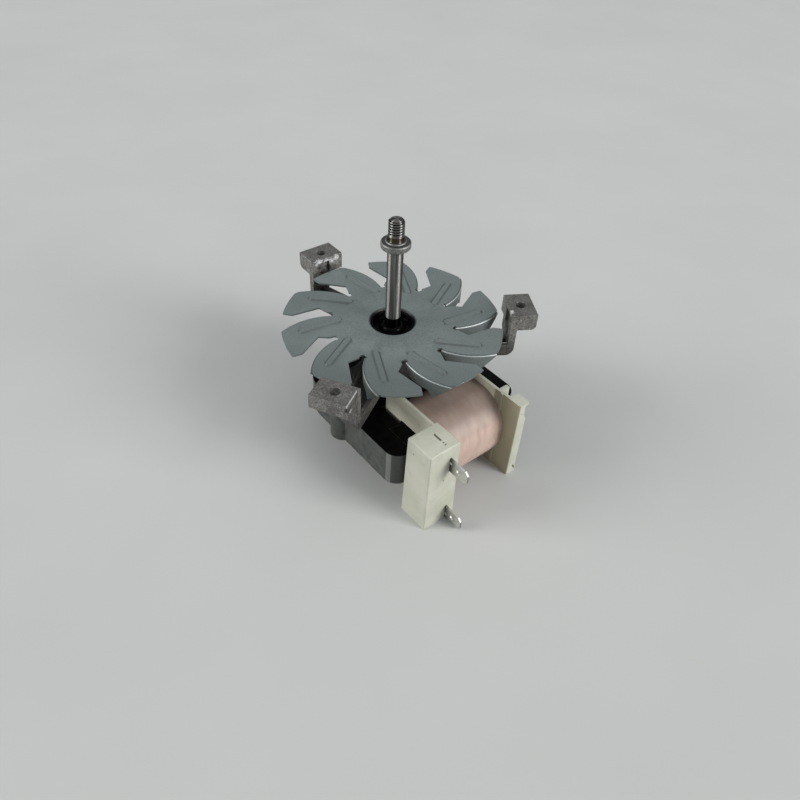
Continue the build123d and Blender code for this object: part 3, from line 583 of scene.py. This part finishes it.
def dress(name, materials, bevel=0.0, angle=40.0, segments=2, crisp=0.0):
    """Gives a solid its materials. A second one goes to the softened edges; crisp keeps folds sharp."""
    piece = nodes[name]
    piece.data.materials.clear()
    for material in materials:
        piece.data.materials.append(material)
    if "custom_normal" in piece.data.attributes:
        piece.data.attributes.remove(piece.data.attributes["custom_normal"])
    piece.data.shade_smooth()
    weld = piece.modifiers.new("weld", "WELD")
    weld.merge_threshold = 0.001 * MM
    if bevel > 0:
        soft = piece.modifiers.new("soft_edges", "BEVEL")
        soft.width = bevel * MM
        soft.segments = segments
        soft.limit_method = "ANGLE"
        soft.angle_limit = math.radians(angle)
        soft.material = len(materials) - 1 if len(materials) > 1 else -1
        soft.use_clamp_overlap = True
    if crisp > 0:
        split = piece.modifiers.new("crisp_folds", "EDGE_SPLIT")
        split.split_angle = math.radians(crisp)
        return
    normals = piece.modifiers.new("normals", "WEIGHTED_NORMAL")
    normals.mode = "FACE_AREA_WITH_ANGLE"
    normals.keep_sharp = True


def dress_all():
    edge = bright_edge()
    cast = cast_metal()
    dress("cooling_fan", (galvanised_sheet(), edge), 0.12, 50.0, 1, crisp=24.0)
    for name in ("front_bracket", "rear_bracket", "rotor_cage"):
        dress(name, (cast, edge), 0.3)
    ring_steel = dark_steel()
    plated = plated_steel()
    plain = (
        (ring_steel, 0.15, ("shaft_collar",)),
        (core_plates(), 0.15, ("stator_core", "coil_limb", "rotor_core")),
        (cream_moulding(), 0.25, ("bobbin",)),
        (pink_tape(), 0.0, ("coil_tape",)),
        (copper(), 0.1, ("coil_winding", "left_shading_ring", "right_shading_ring")),
        (tinned_blade(), 0.05, ("upper_terminal", "lower_terminal")),
        (plated, 0.15, ("left_bracket_screw", "right_bracket_screw")),
        (plated, 0.15, ("left_rear_screw", "right_rear_screw")),
        (plated, 0.0, ("front_bush_retainer", "rear_bush_retainer")),
        (bronze(), 0.0, ("front_bush", "rear_bush")),
        (felt(), 0.0, ("front_oil_felt", "rear_oil_felt")),
        (dark_washer(), 0.0, ("front_thrust_washer", "rear_thrust_washer")),
        (black_plastic(), 0.3, ("fan_hub",)),
        (ring_steel, 0.0, ("shaft",)),
    )
    for material, bevel, names in plain:
        for name in names:
            dress(name, (material,), bevel)


# The shaft with its thread


def skin_radius(height, share, low, top, radius):
    """The skin's radius at a height, at a share of the way round; the grooves wind once a pitch."""
    if height == low:
        return radius - FOOT_CHAMFER
    if NECK_LOW <= height <= THREAD_LOW - 0.1:
        return NECK_RADIUS
    if height <= THREAD_LOW:
        return radius
    phase = ((height - THREAD_LOW) / THREAD_PITCH - share) % 1.0
    groove = 1.0 - min(1.0, max(0.0, (abs(phase - 0.5) - CREST_HALF) / FLANK_RUN))
    fade = min(1.0, (height - THREAD_LOW) / (THREAD_RUN_IN * THREAD_PITCH))
    return min(radius - THREAD_DEPTH * groove * fade, radius - max(0.0, height - (top - TIP_CHAMFER)))


def threaded_shaft(material):
    """The whole shaft turned as one skin, with the helical crests of its M6 end."""
    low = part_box("shaft")[0].z / MM
    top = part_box("shaft")[1].z / MM
    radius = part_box("shaft")[1].x / MM
    heights = [low, low + FOOT_CHAMFER, *PLAIN_RINGS]
    heights += [NECK_LOW - 0.05, NECK_LOW, NECK_LOW + 0.1, THREAD_LOW - 0.15, THREAD_LOW]
    step = THREAD_PITCH / THREAD_STEPS
    heights += [THREAD_LOW + step * k for k in range(1, int((top - THREAD_LOW) / step))]
    heights.append(top)
    vertices = []
    for height in heights:
        for k in range(SKIN_SIDES):
            angle = 2 * math.pi * k / SKIN_SIDES
            size = skin_radius(height, k / SKIN_SIDES, low, top, radius)
            vertices.append((size * math.cos(angle), size * math.sin(angle), height))
    faces = []
    for row in range(len(heights) - 1):
        for k in range(SKIN_SIDES):
            a = row * SKIN_SIDES + k
            b = row * SKIN_SIDES + (k + 1) % SKIN_SIDES
            faces.append((a, b, b + SKIN_SIDES, a + SKIN_SIDES))
    last = len(vertices) - SKIN_SIDES
    foot = len(vertices)
    tip = foot + 1
    vertices += [(0, 0, low), (0, 0, top)]
    for k in range(SKIN_SIDES):
        after = (k + 1) % SKIN_SIDES
        faces.append((after, k, foot))
        faces.append((last + k, last + after, tip))
    data = bpy.data.meshes.new("threaded_shaft")
    data.from_pydata([Vector(v) * MM for v in vertices], [], faces)
    data.materials.append(material)
    data.update()
    data.shade_smooth()
    piece = bpy.data.objects.new("threaded_shaft", data)
    bpy.context.scene.collection.objects.link(piece)
    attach(piece, "rotor")
    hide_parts("shaft")


# Floor and lights


def lamp(name, azimuth, elevation, distance, width, height, power):
    """A rectangular lamp that looks at the origin from the direction and distance given."""
    turn = math.radians(azimuth)
    rise = math.radians(elevation)
    level = distance * math.cos(rise)
    place = Vector((level * math.cos(turn), level * math.sin(turn), distance * math.sin(rise)))
    data = bpy.data.lights.new(name, "AREA")
    data.shape = "RECTANGLE"
    data.size = width
    data.size_y = height
    data.energy = power
    light = bpy.data.objects.new(name, data)
    light.location = place
    light.rotation_euler = place.to_track_quat("Z", "Y").to_euler()
    bpy.context.scene.collection.objects.link(light)


def studio():
    """Floor, even world light and the lamps."""
    data = bpy.data.meshes.new("floor")
    z = FLOOR_LEVEL * MM
    corners = [(x * FLOOR_HALF, y * FLOOR_HALF, z) for x, y in ((-1, -1), (1, -1), (1, 1), (-1, 1))]
    data.from_pydata(corners, [], [(0, 1, 2, 3)])
    data.materials.append(studio_floor())
    floor = bpy.data.objects.new("floor", data)
    bpy.context.scene.collection.objects.link(floor)
    world = bpy.data.worlds.new("studio")
    world.use_nodes = True
    background = world.node_tree.nodes["Background"]
    background.inputs["Color"].default_value = WORLD_COLOR
    background.inputs["Strength"].default_value = WORLD_STRENGTH
    bpy.context.scene.world = world
    for values in LAMPS:
        lamp(*values)


bpy.context.scene.view_settings.view_transform = "Standard"
place_camera()
dress_all()
threaded_shaft(turned_steel())
studio()
